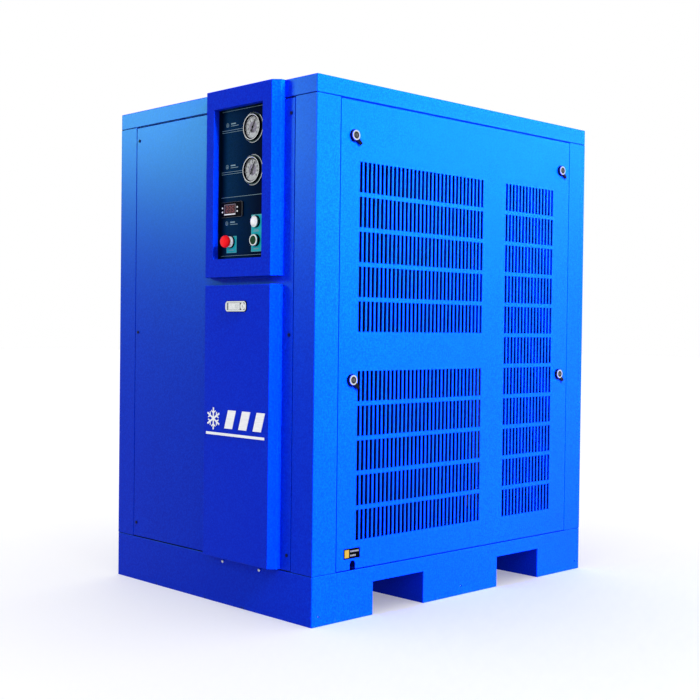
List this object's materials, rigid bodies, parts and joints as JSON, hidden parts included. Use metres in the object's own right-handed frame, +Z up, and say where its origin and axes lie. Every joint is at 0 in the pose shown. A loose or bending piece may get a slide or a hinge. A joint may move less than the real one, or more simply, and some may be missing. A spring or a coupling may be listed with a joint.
{
  "type": "refrigerated air dryer",
  "caption": "Free-standing refrigerated compressed-air dryer: blue sheet-steel cabinet on a fork-pocket plinth, recessed gauge and control column, louvred lift-off side door.",
  "frame": {"origin": "centre of the footprint on the floor", "axes": "+Z up, the control column faces -Y, the louvred service door faces +X"},
  "size_m": [0.9, 1.226, 1.4],
  "materials": {
    "blue_paint": "textured powder coat",
    "screw_black": "black oxide",
    "instrument_black": "printed foil on aluminium",
    "legend_teal": "matt engraved laminate",
    "case_black": "moulded",
    "chrome": "polished",
    "dial_white": "printed",
    "clear_glass": "clear",
    "display_red": "smoked window",
    "lamp_white": "translucent dome",
    "collar_white": "moulded",
    "zinc_steel": "zinc plated",
    "equipment_grey": "moulded",
    "black_enamel": "black enamel",
    "rubber": "matt",
    "fin_aluminium": "mill finish fins",
    "insulation": "closed-cell foam",
    "brass": "machined",
    "copper": "drawn copper tube",
    "lock_black": "black nickel",
    "emblem_silver": "satin foil",
    "needle_black": "matt",
    "button_green": "moulded",
    "estop_red": "moulded",
    "key_white": "moulded"
  },
  "bodies": {
    "cabinet": {"plinth_end_skirts": "blue_paint", "plinth_side_skirts": "blue_paint", "plinth_deck": "blue_paint", "fork_channels": "blue_paint", "corner_posts": "blue_paint", "top_lid": "blue_paint", "front_panel": "blue_paint", "left_panel": "blue_paint", "rear_panel": "blue_paint", "panel_screws": "screw_black", "instrument_cowl": "blue_paint", "instrument_plate": "instrument_black", "legend_plates": "legend_teal", "gauge_cases": "case_black", "gauge_rings": "chrome", "gauge_dials": "dial_white", "gauge_lenses": "clear_glass", "controller_case": "case_black", "controller_display": "display_red", "pilot_lamp_body": "case_black", "pilot_lamp_dome": "lamp_white", "start_button_collar": "chrome", "estop_collar": "collar_white", "cover_rest_studs": "zinc_steel", "electrical_box": "zinc_steel", "contactor_set": "equipment_grey", "cable_gland": "case_black", "compressor": "black_enamel", "compressor_mounts": "rubber", "condenser": "fin_aluminium", "fan_shroud": "black_enamel", "fan_motor": "black_enamel", "fan_guard": "black_enamel", "heat_exchanger": "insulation", "separator": "black_enamel", "drain_valve": "brass", "filter_drier": "black_enamel", "refrigerant_lines": "copper", "air_pipes": "zinc_steel"},
    "side_door": {"side_door": "blue_paint", "door_lock_bodies": "lock_black"},
    "lower_cover": {"lower_cover": "blue_paint", "cover_latch_dish": "chrome", "emblem": "emblem_silver"},
    "latch_lever": {"cover_latch_lever": "chrome"},
    "cover_lock": {"cover_lock_plug": "chrome"},
    "needle_upper": {"gauge_needle_upper": "needle_black"},
    "needle_lower": {"gauge_needle_lower": "needle_black"},
    "fan": {"fan_rotor": "black_enamel"},
    "start_button": {"start_button_cap": "button_green"},
    "estop_stem": {"estop_stem": "case_black"},
    "estop_head": {"estop_head": "estop_red"},
    "door_lock_front_upper": {"door_lock_plug_front_upper": "chrome"},
    "door_lock_front_lower": {"door_lock_plug_front_lower": "chrome"},
    "door_lock_rear_upper": {"door_lock_plug_rear_upper": "chrome"},
    "door_lock_rear_lower": {"door_lock_plug_rear_lower": "chrome"},
    "key_lower_left": {"controller_key_lower_left": "key_white"},
    "key_lower_right": {"controller_key_lower_right": "key_white"},
    "key_upper_left": {"controller_key_upper_left": "key_white"},
    "key_upper_right": {"controller_key_upper_right": "key_white"}
  },
  "joints": [
    {"name": "side_door_lift_off", "type": "slide", "parent": "cabinet", "child": "side_door", "axis": [1, 0, 0], "range_m": [0, 0.25]},
    {"name": "door_lock_turn_front_upper", "type": "hinge", "parent": "side_door", "child": "door_lock_front_upper", "pos_m": [0.44, -0.45, 1.259], "axis": [1, 0, 0], "range_deg": [0, 90]},
    {"name": "door_lock_turn_front_lower", "type": "hinge", "parent": "side_door", "child": "door_lock_front_lower", "pos_m": [0.44, -0.45, 0.626], "axis": [1, 0, 0], "range_deg": [0, 90]},
    {"name": "door_lock_turn_rear_upper", "type": "hinge", "parent": "side_door", "child": "door_lock_rear_upper", "pos_m": [0.44, 0.45, 1.259], "axis": [1, 0, 0], "range_deg": [0, 90]},
    {"name": "door_lock_turn_rear_lower", "type": "hinge", "parent": "side_door", "child": "door_lock_rear_lower", "pos_m": [0.44, 0.45, 0.626], "axis": [1, 0, 0], "range_deg": [0, 90]},
    {"name": "lower_cover_lift_off", "type": "slide", "parent": "cabinet", "child": "lower_cover", "axis": [0, -1, 0], "range_m": [0, 0.2]},
    {"name": "latch_lever_pull", "type": "hinge", "parent": "lower_cover", "child": "latch_lever", "pos_m": [0.129, -0.607, 0.815], "axis": [0, 0, -1], "range_deg": [0, 40]},
    {"name": "cover_lock_turn", "type": "hinge", "parent": "lower_cover", "child": "cover_lock", "pos_m": [0.19, -0.6, 0.815], "axis": [0, -1, 0], "range_deg": [0, 90]},
    {"name": "needle_upper_sweep", "type": "hinge", "parent": "cabinet", "child": "needle_upper", "pos_m": [0.195, -0.588, 1.291], "axis": [0, -1, 0], "range_deg": [-107, 163]},
    {"name": "needle_lower_sweep", "type": "hinge", "parent": "cabinet", "child": "needle_lower", "pos_m": [0.195, -0.588, 1.178], "axis": [0, -1, 0], "range_deg": [-107, 163]},
    {"name": "fan_spin", "type": "hinge", "parent": "cabinet", "child": "fan", "pos_m": [-0.4, -0.15, 0.76], "axis": [-1, 0, 0], "continuous": true},
    {"name": "start_button_push", "type": "slide", "parent": "cabinet", "child": "start_button", "axis": [0, 1, 0], "range_m": [0, 0.0025], "stiffness_N_per_m": 400},
    {"name": "estop_push", "type": "slide", "parent": "cabinet", "child": "estop_stem", "axis": [0, 1, 0], "range_m": [0, 0.004]},
    {"name": "estop_twist", "type": "hinge", "parent": "estop_stem", "child": "estop_head", "pos_m": [0.103, -0.604, 0.9905], "axis": [0, 1, 0], "range_deg": [0, 35], "stiffness_Nm_per_rad": 0.05},
    {"name": "key_press_lower_left", "type": "slide", "parent": "cabinet", "child": "key_lower_left", "axis": [0, 1, 0], "range_m": [0, 0.001], "stiffness_N_per_m": 500},
    {"name": "key_press_lower_right", "type": "slide", "parent": "cabinet", "child": "key_lower_right", "axis": [0, 1, 0], "range_m": [0, 0.001], "stiffness_N_per_m": 500},
    {"name": "key_press_upper_left", "type": "slide", "parent": "cabinet", "child": "key_upper_left", "axis": [0, 1, 0], "range_m": [0, 0.001], "stiffness_N_per_m": 500},
    {"name": "key_press_upper_right", "type": "slide", "parent": "cabinet", "child": "key_upper_right", "axis": [0, 1, 0], "range_m": [0, 0.001], "stiffness_N_per_m": 500}
  ]
}
